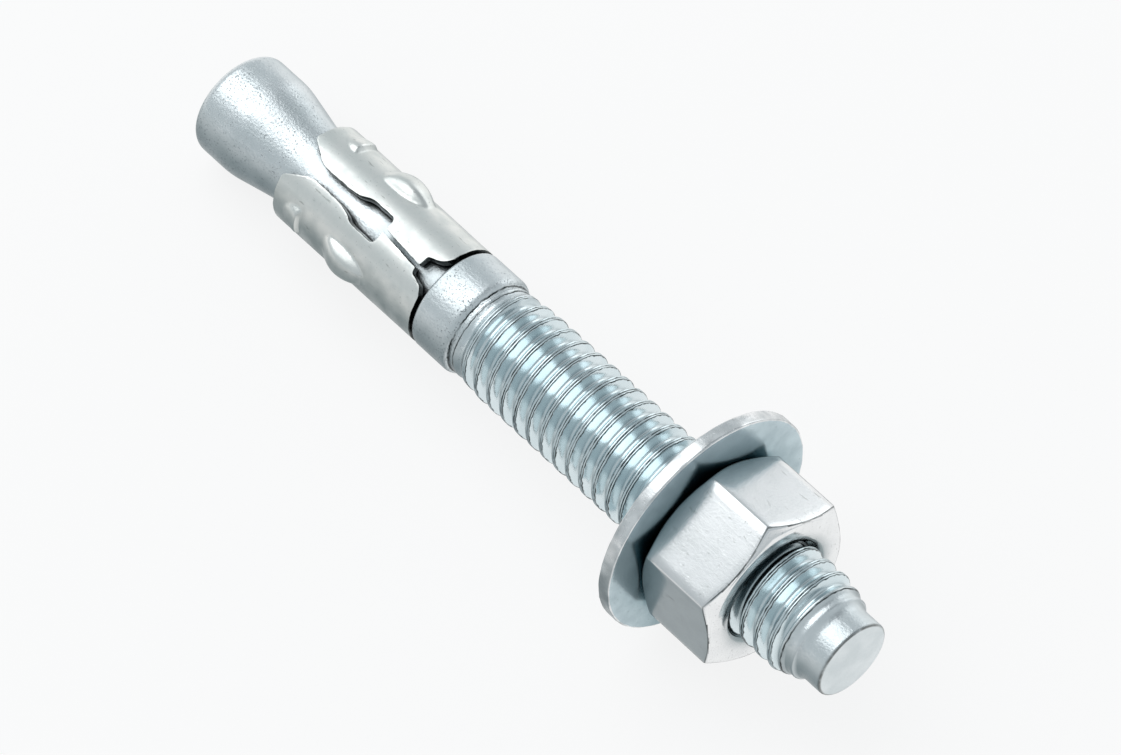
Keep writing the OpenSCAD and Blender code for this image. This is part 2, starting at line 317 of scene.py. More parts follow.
def fillet(points, sizes_at):
    """Polygon with chosen corners rounded: sizes_at gives each corner's cut length, 0 for none."""
    out = []
    n = len(points)
    for i, size in enumerate(sizes_at):
        a, p, b = (Vector(points[(i + k) % n]) for k in (-1, 0, 1))
        if not size:
            out.append(tuple(p))
            continue
        start = p + (a - p).normalized() * size
        end = p + (b - p).normalized() * size
        for k in range(5):
            t = k / 4
            out.append(tuple(start * (1 - t) ** 2 + p * 2 * t * (1 - t) + end * t * t))
    return out


def slot_side():
    """One side of a slot as (station, half width, corner rounding), from the front edge inwards."""
    throat = CLIP_FRONT + 2.9
    shoulder = SLOT_END - 3.7
    return [
        (CLIP_FRONT, SLOT_MOUTH_HALF, 0.35),
        (throat - 0.6, SLOT_HALF + 0.10, 0.5),
        (throat, SLOT_HALF, 0.2),
        (shoulder - 1, SLOT_HALF + 0.05, 0.4),
        (shoulder, SLOT_HALF + 0.24, 0.4),
        (shoulder + 0.8, SLOT_END_HALF - 0.06, 0.4),
        (SLOT_END, SLOT_END_HALF, SLOT_END_R),
    ]


def clip_outline():
    """The flat sheet's edge: (station, width from the seam's direction), all the way round."""
    around = 2 * math.pi * SHEET_R
    notch = CLIP_REAR - NOTCH_DEPTH
    upper = [
        (SLOT_END, seam_width(SLOT_END) + SEAM_HALF, 0.12),
        (notch - 0.10, seam_width(notch) + SEAM_HALF, 0.1),
        (notch - 0.05, NOTCH_HALF - 0.25, 0.25),
        (notch + 0.70, NOTCH_HALF, 0.3),
        (CLIP_REAR - 0.45, NOTCH_HALF + 0.20, 0.25),
        (CLIP_REAR, NOTCH_HALF + 0.95, 0.3),
    ]
    lower = [
        (SLOT_END, seam_width(SLOT_END) - SEAM_HALF, 0.12),
        (notch, seam_width(notch) - SEAM_HALF, 0.1),
        (notch + 0.05, -NOTCH_HALF + 0.25, 0.25),
        (notch + 0.75, -NOTCH_HALF + 0.02, 0.3),
        (CLIP_REAR - 0.40, -NOTCH_HALF - 0.25, 0.25),
        (CLIP_REAR, -NOTCH_HALF - 0.95, 0.3),
    ]
    side = slot_side()
    corners_at = [(x, w, r) for x, w, r in reversed(upper)]
    corners_at += [(x, w, r) for x, w, r in reversed(side)]
    for leaf in range(1, LEAVES):
        middle = around * leaf / LEAVES
        corners_at += [(x, middle - w, r) for x, w, r in side]
        corners_at += [(x, middle + w, r) for x, w, r in reversed(side)]
    corners_at += [(x, around - w, r) for x, w, r in side]
    corners_at += [(x, around + w, r) for x, w, r in lower]
    return fillet([(x, w) for x, w, r in corners_at], [r for x, w, r in corners_at])


def seam_width(x):
    """The seam's middle, which slants a little on its way to the rear."""
    return -0.10 + SEAM_SLANT * (x - SLOT_END) / (CLIP_REAR - NOTCH_DEPTH - SLOT_END)


def walked(outline, step):
    """The closed outline in even short steps, edges left a little ragged as sheared sheet is."""
    out = []
    n = len(outline)
    for i in range(n):
        a, b = Vector(outline[i]), Vector(outline[(i + 1) % n])
        count = max(1, round((b - a).length / step))
        across = Vector((-(b - a).y, (b - a).x)).normalized()
        for k in range(count):
            p = a.lerp(b, k / count)
            ragged = 0.035 * rough(p.x, p.y, 0.3, 0.5) + 0.02 * rough(p.x, p.y, 5.3, 0.22)
            out.append(p + across * ragged)
    return out


def bump_rise(x, w):
    """Height of the stamped bumps over the sheet at a station and a width from the leaf's middle."""
    return max(large_bump(x - BUMP_STATION, abs(w)), small_bump(x - NIB_STATION, abs(w)))


def large_bump(x, w):
    """Blunt front, straight steep sides and a rear drawn to a point."""
    if not -BUMP_FRONT < x < BUMP_REAR:
        return 0.0
    blunt = 1 - ramp(-x, BUMP_FRONT - 1.0, BUMP_FRONT) ** 2
    point = 1 - ramp(x, -1.1, BUMP_REAR) ** 2.8
    width = BUMP_HALF * math.sqrt(max(0.0, blunt)) * max(0.0, point) + 1e-4
    if x < 0:
        along = math.sin(math.pi / 2 * (1 + x / BUMP_FRONT))
    else:
        along = max(0.0, 1 - (x / (0.80 * BUMP_REAR)) ** 2.2) * 0.93 + 0.07 * (1 - x / BUMP_REAR)
    across = max(0.0, 1 - (w / width) ** 3.6)
    return BUMP_HEIGHT * along * across


def small_bump(x, w):
    """A low lobe that rises towards a crisp rear edge."""
    if not -NIB_FRONT < x < NIB_REAR:
        return 0.0
    blunt = math.sqrt(max(0.0, 1 - ramp(-x, 0.0, NIB_FRONT) ** 2))
    along = math.sin(math.pi / 2 * (1 + x / NIB_FRONT)) if x < 0 else 1 - smooth(x, 0, NIB_REAR)
    across = max(0.0, 1 - (w / (NIB_HALF * blunt + 1e-4)) ** 4)
    return NIB_HEIGHT * along * across


def sheet_radius(x, w):
    """Outer radius of the sheet."""
    leaf = 2 * math.pi * SHEET_R / LEAVES
    local = (w % leaf) - leaf / 2
    base = CLIP_FRONT_R + (CLIP_REAR_R - CLIP_FRONT_R) * ramp(x, CLIP_FRONT, CLIP_REAR)
    wave = 0.010 * rough(x * 0.5, w, 2.0, 2.2)
    return base - 0.012 + wave + bump_rise(x, local)


def inside_points(outline, step):
    """A hexagonal net of points inside the outline, kept clear of its edge."""
    spaced = outline + outline[:1]
    cells = {}
    for p in spaced:
        cells.setdefault((int(p.x // step), int(p.y // step)), []).append(p)
    found = []
    rows = int((CLIP_REAR - CLIP_FRONT) / (step * 0.866))
    span = 2 * math.pi * SHEET_R
    for i in range(rows + 1):
        x = CLIP_FRONT + i * step * 0.866
        for j in range(int(span / step) + 8):
            p = Vector((x, j * step + (i % 2) * step / 2 - 1.0))
            cell = (int(p.x // step), int(p.y // step))
            near = [q for u in (-1, 0, 1) for v in (-1, 0, 1) for q in cells.get((cell[0] + u, cell[1] + v), [])]
            if all((p - q).length > 0.62 * step for q in near):
                found.append(p)
    return found


def build_clip():
    """The rolled sheet: an outer and an inner skin joined by the sheared edge, whose arrises are worn."""
    outline = walked(clip_outline(), CLIP_STEP * 0.8)
    count = len(outline)
    points = outline + inside_points(outline, CLIP_STEP)
    edges = [(i, (i + 1) % count) for i in range(count)]
    flat, _, faces, *_ = delaunay_2d_cdt(points, edges, [list(range(count))], 1, 1e-5)
    seam = math.radians(SEAM_DIRECTION)
    thick = SHEET_R - CLIP_INNER_R
    total = len(flat)
    radii = [sheet_radius(p.x, p.y) for p in flat]
    skin = [place(p.x, seam + p.y / SHEET_R, r) for p, r in zip(flat, radii)]
    skin += [place(p.x, seam + p.y / SHEET_R, r - thick) for p, r in zip(flat, radii)]
    used = {}
    for face in faces:
        for i, j in zip(face, list(face[1:]) + [face[0]]):
            used[frozenset((i, j))] = used.get(frozenset((i, j)), 0) + 1
    border = [tuple(pair) for pair, times in used.items() if times == 1]
    solid = [list(face) for face in faces] + [[i + total for i in reversed(face)] for face in faces]
    first_rim = len(solid)
    solid += [[i, j, j + total, i + total] for i, j in border]
    made = mesh_object("clip_skin", skin, solid)
    bm = bmesh.new()
    bm.from_mesh(made.data)
    bm.faces.ensure_lookup_table()
    # the sheet's edge walls take the second material, painted dark as shade
    for face in bm.faces[first_rim:]:
        face.material_index = 1
    worn = bm.edges.layers.float.new("bevel_weight_edge")
    for edge in bm.edges:
        kinds = {face.material_index for face in edge.link_faces}
        edge[worn] = 1.0 if len(kinds) == 2 else 0.0
    bmesh.ops.recalc_face_normals(bm, faces=bm.faces)
    bm.to_mesh(made.data)
    bm.free()
    edge = made.modifiers.new("worn edges", "BEVEL")
    edge.width = 0.05 * MM
    edge.segments = 2
    edge.limit_method = "WEIGHT"
    return made


# Washer and nut
WASHER_COLUMNS = 220


def washer_dent(x, angle):
    """Burrs and rolled-over edges round the punched rim; only ever inwards."""
    y, z = math.cos(angle) * WASHER_R, math.sin(angle) * WASHER_R
    return 0.035 * (1 + rough(x * 2, y, z, 1.1)) + 0.03 * (1 + rough(x * 3, y, z, 0.4))


def build_washer():
    e = WASHER_EDGE_R
    profile = [(0.10, WASHER_BORE_R), (WASHER_THICK - 0.1, WASHER_BORE_R)]
    profile += [(WASHER_THICK, WASHER_BORE_R + 0.1)]
    profile += [(WASHER_THICK, WASHER_BORE_R + 0.1 + (WASHER_R - WASHER_BORE_R - 0.6) * i / 16) for i in range(1, 17)]
    profile += [(WASHER_THICK - e + e * math.sin(math.radians(a)), WASHER_R - e + e * math.cos(math.radians(a))) for a in range(90, -1, -15)]
    profile += [(0.62, WASHER_R)]
    profile += [(e - e * math.sin(math.radians(a)), WASHER_R - e + e * math.cos(math.radians(a))) for a in range(0, 91, 15)]
    profile += [(0, WASHER_R - 0.5 - (WASHER_R - WASHER_BORE_R - 0.6) * i / 16) for i in range(0, 17)]
    profile += [(0.10, WASHER_BORE_R)]
    points = []
    for x, r in profile:
        rim = smooth(r, WASHER_R - 0.8, WASHER_R)
        for j in range(WASHER_COLUMNS):
            angle = 2 * math.pi * j / WASHER_COLUMNS
            loss = rim * washer_dent(x, angle)
            y, z = math.cos(angle) * r, math.sin(angle) * r
            dish = 0.012 * (1 + rough(0, y, z, 3.0))
            inward = dish if x < WASHER_THICK / 2 else -dish
            at = place(WASHER_REAR + x + inward, angle, r - loss)
            points.append(at + LIFTED * WASHER_LIFT * MM)
    made = mesh_object("washer_skin", points, grid_faces(len(profile), WASHER_COLUMNS))
    merged(made, 0.0005)
    made.data.shade_smooth()
    centre = ORIGIN + LIFTED * WASHER_LIFT
    for face in made.data.polygons:
        out = face.center / MM - centre
        out -= AXIS * out.dot(AXIS)
        face.material_index = 1 if out.length > WASHER_R - 0.22 else 0
    return made


NUT_COLUMNS = 192


def hexagon_r(angle):
    """Radius of the hexagon in a direction, with rounded corners."""
    corner = math.radians(NUT_DIRECTION)
    local = (angle - corner + math.pi / 6) % (math.pi / 3) - math.pi / 6
    flat = NUT_FLATS / 2 / math.cos(abs(local) - math.pi / 6)
    return flat - 0.06 * math.exp(-((local / 0.03) ** 2))


def nut_point(angle, r, x):
    return place(NUT_STATION + x, angle, r)


def build_nut():
    """Hexagon with chamfered faces, countersunk mouths and a helical bore."""
    slope = math.tan(math.radians(NUT_CHAMFER))
    mouth_depth = (NUT_MOUTH_R - ROOT_R) * 0.7
    half = NUT_HEIGHT / 2
    points, rows = [], 0
    order = []
    order += [("bore", -half + mouth_depth * 0.8, ROOT_R + THREAD_GAP + 0.3)]
    order += [("ring", -half + 0.08, NUT_MOUTH_R - 0.06), ("ring", -half, NUT_MOUTH_R + 0.06)]
    order += [("ring", -half, NUT_FACE_R - 0.8), ("ring", -half, NUT_FACE_R - 0.2)]
    order += [("ring", -half + 0.03, NUT_FACE_R + 0.10)]
    order += [("rise", -1, t) for t in (0.25, 0.5, 0.75, 0.93)]
    order += [("flat", -1, t) for t in (0.02, 0.08, 0.2, 0.4, 0.7, 1.0)]
    order += [("flat", 1, t) for t in (0.7, 0.4, 0.2, 0.08, 0.02)]
    order += [("rise", 1, t) for t in (0.93, 0.75, 0.5, 0.25)]
    order += [("ring", half - 0.03, NUT_FACE_R + 0.10), ("ring", half, NUT_FACE_R - 0.2)]
    order += [("ring", half, NUT_FACE_R - 0.8), ("ring", half, NUT_MOUTH_R + 0.06)]
    order += [("ring", half - 0.08, NUT_MOUTH_R - 0.06)]
    order += [("bore", half - mouth_depth * 0.8, ROOT_R + THREAD_GAP + 0.3)]
    for kind, a, b in order:
        rows += 1
        for j in range(NUT_COLUMNS):
            angle = 2 * math.pi * j / NUT_COLUMNS + math.radians(NUT_DIRECTION)
            edge = hexagon_r(angle)
            shoulder = half - (edge - NUT_FACE_R) * slope
            if kind == "rise":
                r = NUT_FACE_R + 0.10 + (edge - NUT_FACE_R - 0.10) * b
                x = a * (half - (r - NUT_FACE_R) * slope)
            elif kind == "flat":
                r = edge - 0.02 * math.exp(-b / 0.03)
                x = a * shoulder * (1 - b)
            else:
                r, x = b, a
            points.append(nut_point(angle, r, half + x))
    shell = (points, grid_faces(rows, NUT_COLUMNS))
    made = joined("nut_skin", shell, nut_thread())
    # faces along each flat's edge with the chamfer take the second material, a painted dark line of shade
    for face in made.data.polygons:
        at = face.center / MM - ORIGIN
        y, z = at.dot(SIDE), at.dot(LIFTED)
        edge = hexagon_r(math.atan2(z, y))
        shoulder = half - (edge - NUT_FACE_R) * slope
        from_shoulder = abs(at.dot(AXIS) - NUT_STATION - half) - shoulder
        brink = edge - math.hypot(y, z) < 0.08 and abs(from_shoulder) < 0.05
        face.material_index = 1 if brink else 0
    return made


def nut_thread():
    """Helical bore between the two countersinks."""
    low = NUT_STATION + (NUT_MOUTH_R - ROOT_R) * 0.7 * 0.25
    high = NUT_STATION + NUT_HEIGHT - (NUT_MOUTH_R - ROOT_R) * 0.7 * 0.25
    offsets = (-0.58, -0.42, -0.27, -0.18, 0.18, 0.27, 0.42, 0.58, PITCH / 2)
    first = math.floor((low - CREST_STATION) / PITCH) - 1
    last = math.ceil((high - CREST_STATION) / PITCH) + 1
    points, rows, columns = [], 0, 96
    for turn in range(first, last + 1):
        for offset in offsets:
            rows += 1
            for j in range(columns):
                angle = 2 * math.pi * j / columns
                x = CREST_STATION + PITCH * (turn + j / columns) + offset
                at = min(high, max(low, x))
                share = flank_share(min(abs(offset), PITCH / 2))
                r = CREST_R + THREAD_GAP - share * (CREST_R - ROOT_R)
                edge = min(at - NUT_STATION, NUT_STATION + NUT_HEIGHT - at)
                cone = NUT_MOUTH_R - edge / 0.7
                points.append(place(at, angle, max(r, cone)))
    faces = []
    for i in range(rows - 1):
        for j in range(columns):
            k = j + 1
            jump = 0 if k < columns else len(offsets)
            k %= columns
            if i + 1 + jump < rows:
                quad = [(i, j), (i + 1, j), (i + 1 + jump, k), (i + jump, k)]
                faces.append([r * columns + c for r, c in quad])
    return points, faces


# Materials
def node_tree(name):
    material = bpy.data.materials.new(name)
    material.use_nodes = True
    tree = material.node_tree
    tree.nodes.clear()
    out = tree.nodes.new("ShaderNodeOutputMaterial")
    shader = tree.nodes.new("ShaderNodeBsdfPrincipled")
    tree.links.new(shader.outputs["BSDF"], out.inputs["Surface"])
    return material, tree, shader


def along_axis(tree):
    """Texture coordinates in millimetres, X the station along the stud and the axis at zero."""
    coordinates = tree.nodes.new("ShaderNodeTexCoord")
    mapping = tree.nodes.new("ShaderNodeMapping")
    mapping.vector_type = "POINT"
    mapping.inputs["Scale"].default_value = (1000, 1000, 1000)
    mapping.inputs["Rotation"].default_value = (0, TILT, 0)
    mapping.inputs["Location"].default_value = (-ORIGIN.dot(AXIS), 0, -ORIGIN.dot(LIFTED))
    tree.links.new(coordinates.outputs["Object"], mapping.inputs["Vector"])
    return mapping.outputs["Vector"]


def sum_of(tree, operation, *values):
    """One math node with numbers or sockets as its values."""
    made = tree.nodes.new("ShaderNodeMath")
    made.operation = operation
    for i, value in enumerate(values):
        if isinstance(value, (int, float)):
            made.inputs[i].default_value = value
        else:
            tree.links.new(value, made.inputs[i])
    return made.outputs["Value"]


def noise_node(tree, vector, scale, detail=4.0, stretch=(1, 1, 1)):
    mapping = tree.nodes.new("ShaderNodeMapping")
    mapping.inputs["Scale"].default_value = stretch
    tree.links.new(vector, mapping.inputs["Vector"])
    made = tree.nodes.new("ShaderNodeTexNoise")
    made.inputs["Scale"].default_value = scale
    made.inputs["Detail"].default_value = detail
    tree.links.new(mapping.outputs["Vector"], made.inputs["Vector"])
    return made.outputs["Fac"]


def ranged(tree, value, from_low, from_high, to_low, to_high):
    made = tree.nodes.new("ShaderNodeMapRange")
    made.inputs["From Min"].default_value = from_low
    made.inputs["From Max"].default_value = from_high
    made.inputs["To Min"].default_value = to_low
    made.inputs["To Max"].default_value = to_high
    tree.links.new(value, made.inputs["Value"])
    return made.outputs["Result"]


def bump_node(tree, shader, *layers):
    """Stacks bump layers given as (height, distance in mm, strength)."""
    normal = None
    for height, distance, strength in layers:
        made = tree.nodes.new("ShaderNodeBump")
        made.inputs["Distance"].default_value = distance * MM
        made.inputs["Strength"].default_value = strength
        tree.links.new(height, made.inputs["Height"])
        if normal is not None:
            tree.links.new(normal, made.inputs["Normal"])
        normal = made.outputs["Normal"]
    tree.links.new(normal, shader.inputs["Normal"])


def mix_colour(tree, factor, low, high):
    made = tree.nodes.new("ShaderNodeMix")
    made.data_type = "RGBA"
    made.inputs["A"].default_value = (*low, 1)
    made.inputs["B"].default_value = (*high, 1)
    tree.links.new(factor, made.inputs["Factor"])
    return made.outputs["Result"]


def squared(tree, value):
    return sum_of(tree, "MULTIPLY", value, value)


def multiplied(tree, colour, shade):
    made = tree.nodes.new("ShaderNodeMix")
    made.data_type = "RGBA"
    made.blend_type = "MULTIPLY"
    made.inputs["Factor"].default_value = 1.0
    tree.links.new(colour, made.inputs["A"])
    tree.links.new(shade, made.inputs["B"])
    return made.outputs["Result"]


def openness(tree, reach):
    """How open the surface is, 0 in a tight crevice and 1 in the open."""
    made = tree.nodes.new("ShaderNodeAmbientOcclusion")
    made.samples = 10
    made.inputs["Distance"].default_value = reach * MM
    return made.outputs["AO"]


def with_painted_shade(tree, colour, reach, low, high, dark):
    """Paints shade into the plating's colour: darker in crevices, and on the round sides that look down at the floor.
    """
    # painted shade in crevices, where the surface is closed in
    crevice = ranged(tree, openness(tree, reach), low, high, 0.0, 1.0)
    colour = multiplied(tree, colour, mix_colour(tree, crevice, dark, (1, 1, 1)))
    # painted shade on the round sides that face down; faces turned along the axis are left out
    coordinates = tree.nodes.new("ShaderNodeTexCoord")
    facing = tree.nodes.new("ShaderNodeVectorMath")
    facing.operation = "DOT_PRODUCT"
    facing.inputs[1].default_value = AXIS
    tree.links.new(coordinates.outputs["Normal"], facing.inputs[0])
    end_on = ranged(tree, sum_of(tree, "ABSOLUTE", facing.outputs["Value"]), 0.45, 0.85, 0.0, 1.0)
    geometry = tree.nodes.new("ShaderNodeNewGeometry")
    upright = tree.nodes.new("ShaderNodeSeparateXYZ")
    tree.links.new(geometry.outputs["Normal"], upright.inputs["Vector"])
    sky = squared(tree, ranged(tree, upright.outputs["Z"], 0.0, 0.64, 0.0, 1.0))
    open_share = sum_of(tree, "MAXIMUM", sky, end_on)
    return multiplied(tree, colour, mix_colour(tree, open_share, LOW_SHADE, (1, 1, 1)))


# darkest colour of the painted shade on the sides that face down
LOW_SHADE = (0.28, 0.325, 0.34)


def zinc(name, bright, dull, rough_range, crevice, grain, pits):
    """Zinc plating on steel: mottled tint and roughness, a light grain along the stud and scattered pits, with
    painted shade in crevices and on the sides that face down.
    """
    material, tree, shader = node_tree(name)
    vector = along_axis(tree)
    shader.inputs["Metallic"].default_value = 1.0
    patches = noise_node(tree, vector, 0.6, 6)
    fine = noise_node(tree, vector, 4.0, 5)
    streak = noise_node(tree, vector, 2.5, 4, (0.12, 1, 1))
    tint = ranged(tree, patches, 0.35, 0.65, 0.0, 1.0)
    colour = mix_colour(tree, tint, bright, dull)
    scratch = ranged(tree, noise_node(tree, vector, 3.2, 3, (0.22, 1, 1)), 0.66, 0.74, 0.0, 1.0)
    speck = ranged(tree, noise_node(tree, vector, 5.5, 2), 0.24, 0.33, 1.0, 0.0)
    marks = sum_of(tree, "MAXIMUM", scratch, speck)
    colour = multiplied(tree, colour, mix_colour(tree, marks, (1, 1, 1), (0.66, 0.67, 0.66)))
    # painted shade in crevices and on the sides that face down
    colour = with_painted_shade(tree, colour, *crevice)
    low, high = rough_range
    roughness = ranged(tree, patches, 0.35, 0.65, low, high)
    pit = ranged(tree, noise_node(tree, vector, 7.0, 2), 0.20, 0.34, 0.0, 1.0)
    bump_node(tree, shader, (streak, 0.010, grain), (fine, 0.004, 0.5), (pit, 0.010, pits))
    tree.links.new(colour, shader.inputs["Base Color"])
    tree.links.new(roughness, shader.inputs["Roughness"])
    return material


def stud_plating():
    """The stud's plating: satin on the cold-formed cone and collar, brighter in the rolled thread, with painted shade
    in its crevices, dark lines and down-facing sides.
    """
    material, tree, shader = node_tree("zinc on the stud")
    vector = along_axis(tree)
    shader.inputs["Metallic"].default_value = 1.0
    parts = tree.nodes.new("ShaderNodeSeparateXYZ")
    tree.links.new(vector, parts.inputs["Vector"])
    station = parts.outputs["X"]
    threaded = sum_of(
        tree,
        "MINIMUM",
        ranged(tree, station, THREAD_FROM + 0.6, THREAD_FROM + 2.2, 0.0, 1.0),
        ranged(tree, station, THREAD_TO - 0.6, THREAD_TO, 1.0, 0.0),
    )
    around = sum_of(tree, "ARCTAN2", parts.outputs["Z"], parts.outputs["Y"])
    turns = sum_of(tree, "DIVIDE", sum_of(tree, "SUBTRACT", station, CREST_STATION), PITCH)
    helix = sum_of(tree, "SUBTRACT", turns, sum_of(tree, "DIVIDE", around, 2 * math.pi))
    share = sum_of(tree, "SUBTRACT", sum_of(tree, "FRACT", sum_of(tree, "ADD", helix, 0.5)), 0.5)
    wander = ranged(tree, noise_node(tree, vector, 1.6, 3), 0.3, 0.7, -0.035, 0.035)
    offset = sum_of(tree, "ABSOLUTE", sum_of(tree, "ADD", sum_of(tree, "MULTIPLY", share, PITCH), wander))
    # dark lines painted along the rolled seam and at the crest edges: painted shade, also pressed in as a shallow
    # groove by the bump
    seam = ranged(tree, offset, 0.015, 0.05, 1.0, 0.0)
    brink = ranged(tree, sum_of(tree, "ABSOLUTE", sum_of(tree, "SUBTRACT", offset, 0.215)), 0.012, 0.040, 1.0, 0.0)
    # worn: random strength of the painted dark lines
    worn = ranged(tree, noise_node(tree, vector, 0.9, 4), 0.34, 0.52, 0.40, 1.0)
    lines = sum_of(tree, "MULTIPLY", sum_of(tree, "MAXIMUM", seam, brink), worn)
    lines = sum_of(tree, "MULTIPLY", lines, threaded)
    # dark rings painted either side of the collar's lip and where the thread meets the dog: painted shade in these
    # creases
    for ring in (COLLAR_END + 0.66, COLLAR_END + 1.22, STUD_LENGTH - DOG_LENGTH - 1.92):
        away = sum_of(tree, "ABSOLUTE", sum_of(tree, "SUBTRACT", sum_of(tree, "ADD", station, wander), ring))
        line = sum_of(tree, "MULTIPLY", ranged(tree, away, 0.02, 0.07, 1.0, 0.0), worn)
        lines = sum_of(tree, "MAXIMUM", lines, line)
    patches = noise_node(tree, vector, 0.30, 5)
    tint = ranged(tree, patches, 0.35, 0.65, 0.0, 1.0)
    satin = mix_colour(tree, tint, (0.79, 0.835, 0.85), (0.67, 0.725, 0.74))
    bright = mix_colour(tree, tint, (0.745, 0.83, 0.855), (0.67, 0.77, 0.80))
    zone = tree.nodes.new("ShaderNodeMix")
    zone.data_type = "RGBA"
    tree.links.new(threaded, zone.inputs["Factor"])
    tree.links.new(satin, zone.inputs["A"])
    tree.links.new(bright, zone.inputs["B"])
    colour = multiplied(tree, zone.outputs["Result"], mix_colour(tree, lines, (1, 1, 1), (0.04, 0.05, 0.05)))
    smoother = sum_of(tree, "SUBTRACT", 1.0, sum_of(tree, "MULTIPLY", threaded, 0.9))
    crowd = ranged(tree, noise_node(tree, vector, 0.5, 3), 0.40, 0.60, 0.30, 1.0)
    ahead = ranged(tree, station, 9.5, 12.0, 1.0, 0.0)
    behind = sum_of(tree, "MULTIPLY", ranged(tree, station, 27.0, 28.0, 0.0, 1.0), ranged(tree, station, 33, 34, 1.0, 0.0))
    crowd = sum_of(tree, "MULTIPLY", crowd, sum_of(tree, "ADD", ahead, behind))
    lip = sum_of(tree, "ABSOLUTE", sum_of(tree, "SUBTRACT", station, COLLAR_END + 0.45))
    crowd = sum_of(tree, "ADD", crowd, ranged(tree, lip, 0.3, 1.1, 0.6, 0.0))
    pit = ranged(tree, noise_node(tree, vector, 6.5, 4), 0.31, 0.41, 1.0, 0.0)
    pit = sum_of(tree, "MULTIPLY", sum_of(tree, "MULTIPLY", pit, crowd), smoother)
    colour = multiplied(tree, colour, mix_colour(tree, pit, (1, 1, 1), (0.48, 0.50, 0.52)))
    across = sum_of(tree, "SQRT", sum_of(tree, "ADD", squared(tree, parts.outputs["Y"]), squared(tree, parts.outputs["Z"])))
    rim = ranged(tree, sum_of(tree, "ABSOLUTE", sum_of(tree, "SUBTRACT", across, DOG_R - 0.10)), 0.03, 0.14, 1.0, 0.0)
    rim = sum_of(tree, "MULTIPLY", rim, ranged(tree, station, STUD_LENGTH - 0.30, STUD_LENGTH - 0.15, 0.0, 1.0))
    rim = sum_of(tree, "MULTIPLY", rim, worn)
    colour = multiplied(tree, colour, mix_colour(tree, rim, (1, 1, 1), (0.35, 0.34, 0.33)))
    # painted shade in crevices and on the sides that face down
    colour = with_painted_shade(tree, colour, 2.4, 0.14, 0.46, (0.05, 0.08, 0.09))
    tree.links.new(colour, shader.inputs["Base Color"])
    rolled = ranged(tree, patches, 0.35, 0.65, 0.16, 0.22)
    formed = ranged(tree, patches, 0.35, 0.65, 0.31, 0.41)
    mixed = tree.nodes.new("ShaderNodeMix")
    tree.links.new(threaded, mixed.inputs["Factor"])
    tree.links.new(formed, mixed.inputs["A"])
    tree.links.new(rolled, mixed.inputs["B"])
    tree.links.new(mixed.outputs["Result"], shader.inputs["Roughness"])
    fine = noise_node(tree, vector, 4.5, 6)
    streak = sum_of(tree, "MULTIPLY", noise_node(tree, vector, 2.5, 4, (0.12, 1, 1)), smoother)
    grain = sum_of(tree, "MULTIPLY", fine, smoother)
    bump_node(tree, shader, (streak, 0.012, 0.3), (grain, 0.034, 1.0), (pit, -0.025, 1.0), (lines, -0.02, 0.8))
    return material


def floor_material():
    """Pale floor, seen by the eye and in the metal as nearly white; it keeps the object's shadow."""
    material, tree, shader = node_tree("pale floor")
    shader.inputs["Base Color"].default_value = (0.93, 0.93, 0.93, 1)
    shader.inputs["Roughness"].default_value = 0.9
    white = tree.nodes.new("ShaderNodeEmission")
    white.inputs["Strength"].default_value = 1.0
    path = tree.nodes.new("ShaderNodeLightPath")
    seen_rays = sum_of(tree, "MAXIMUM", path.outputs["Is Camera Ray"], path.outputs["Is Glossy Ray"])
    seen_rays = sum_of(tree, "MAXIMUM", seen_rays, path.outputs["Is Transmission Ray"])
    blend = tree.nodes.new("ShaderNodeMixShader")
    tree.links.new(sum_of(tree, "MULTIPLY", seen_rays, 0.84), blend.inputs["Fac"])
    tree.links.new(shader.outputs["BSDF"], blend.inputs[1])
    tree.links.new(white.outputs["Emission"], blend.inputs[2])
    out = next(n for n in tree.nodes if n.type == "OUTPUT_MATERIAL")
    tree.links.new(blend.outputs["Shader"], out.inputs["Surface"])
    return material


def dress(obj, body, node, *materials):
    """Gives the piece its materials, keeps it on its body and lets it stand in for its node."""
    slots = [face.material_index for face in obj.data.polygons]
    obj.data.materials.clear()
    for material in materials:
        obj.data.materials.append(material)
    obj.data.polygons.foreach_set("material_index", slots)
    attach(obj, body)
    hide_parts(node)


# painted crevice shade for each plating: reach in mm, the openness where it is darkest and where it ends, and its
# darkest colour
TIGHT_PAINTED_SHADE = (2.2, 0.15, 0.80, (0.05, 0.08, 0.09))
NUT_PAINTED_SHADE = (3.5, 0.20, 0.85, (0.14, 0.22, 0.24))
WIDE_PAINTED_SHADE = (6.0, 0.28, 0.90, (0.20, 0.33, 0.36))
stud_zinc = stud_plating()
clip_zinc = zinc("matt zinc on the clip", (0.88, 0.89, 0.86), (0.74, 0.77, 0.75), (0.32, 0.46), TIGHT_PAINTED_SHADE, 0.25, 0.5)
# the sheared edge walls, painted nearly black: painted shade along the sheet's edges
sheared = zinc("painted shade on the clip's sheared edge", (0.17, 0.175, 0.17), (0.09, 0.095, 0.09), (0.26, 0.40), TIGHT_PAINTED_SHADE, 0.6, 0.9)
washer_zinc = zinc("zinc on the washer", (0.58, 0.69, 0.73), (0.48, 0.58, 0.62), (0.18, 0.26), WIDE_PAINTED_SHADE, 0.1, 0.6)
rim_zinc = zinc("rough punched rim", (0.92, 0.93, 0.93), (0.56, 0.59, 0.60), (0.20, 0.38), TIGHT_PAINTED_SHADE, 1.0, 1.0)
nut_zinc = zinc("zinc on the nut", (0.89, 0.90, 0.90), (0.84, 0.85, 0.855), (0.14, 0.20), NUT_PAINTED_SHADE, 0.15, 0.3)
# a dark line painted along the edges between flats and chamfers: painted shade
nut_edge_shade = zinc("painted shade on the nut's edge", (0.16, 0.17, 0.17), (0.60, 0.61, 0.61), (0.22, 0.36), TIGHT_PAINTED_SHADE, 0.6, 0.9)

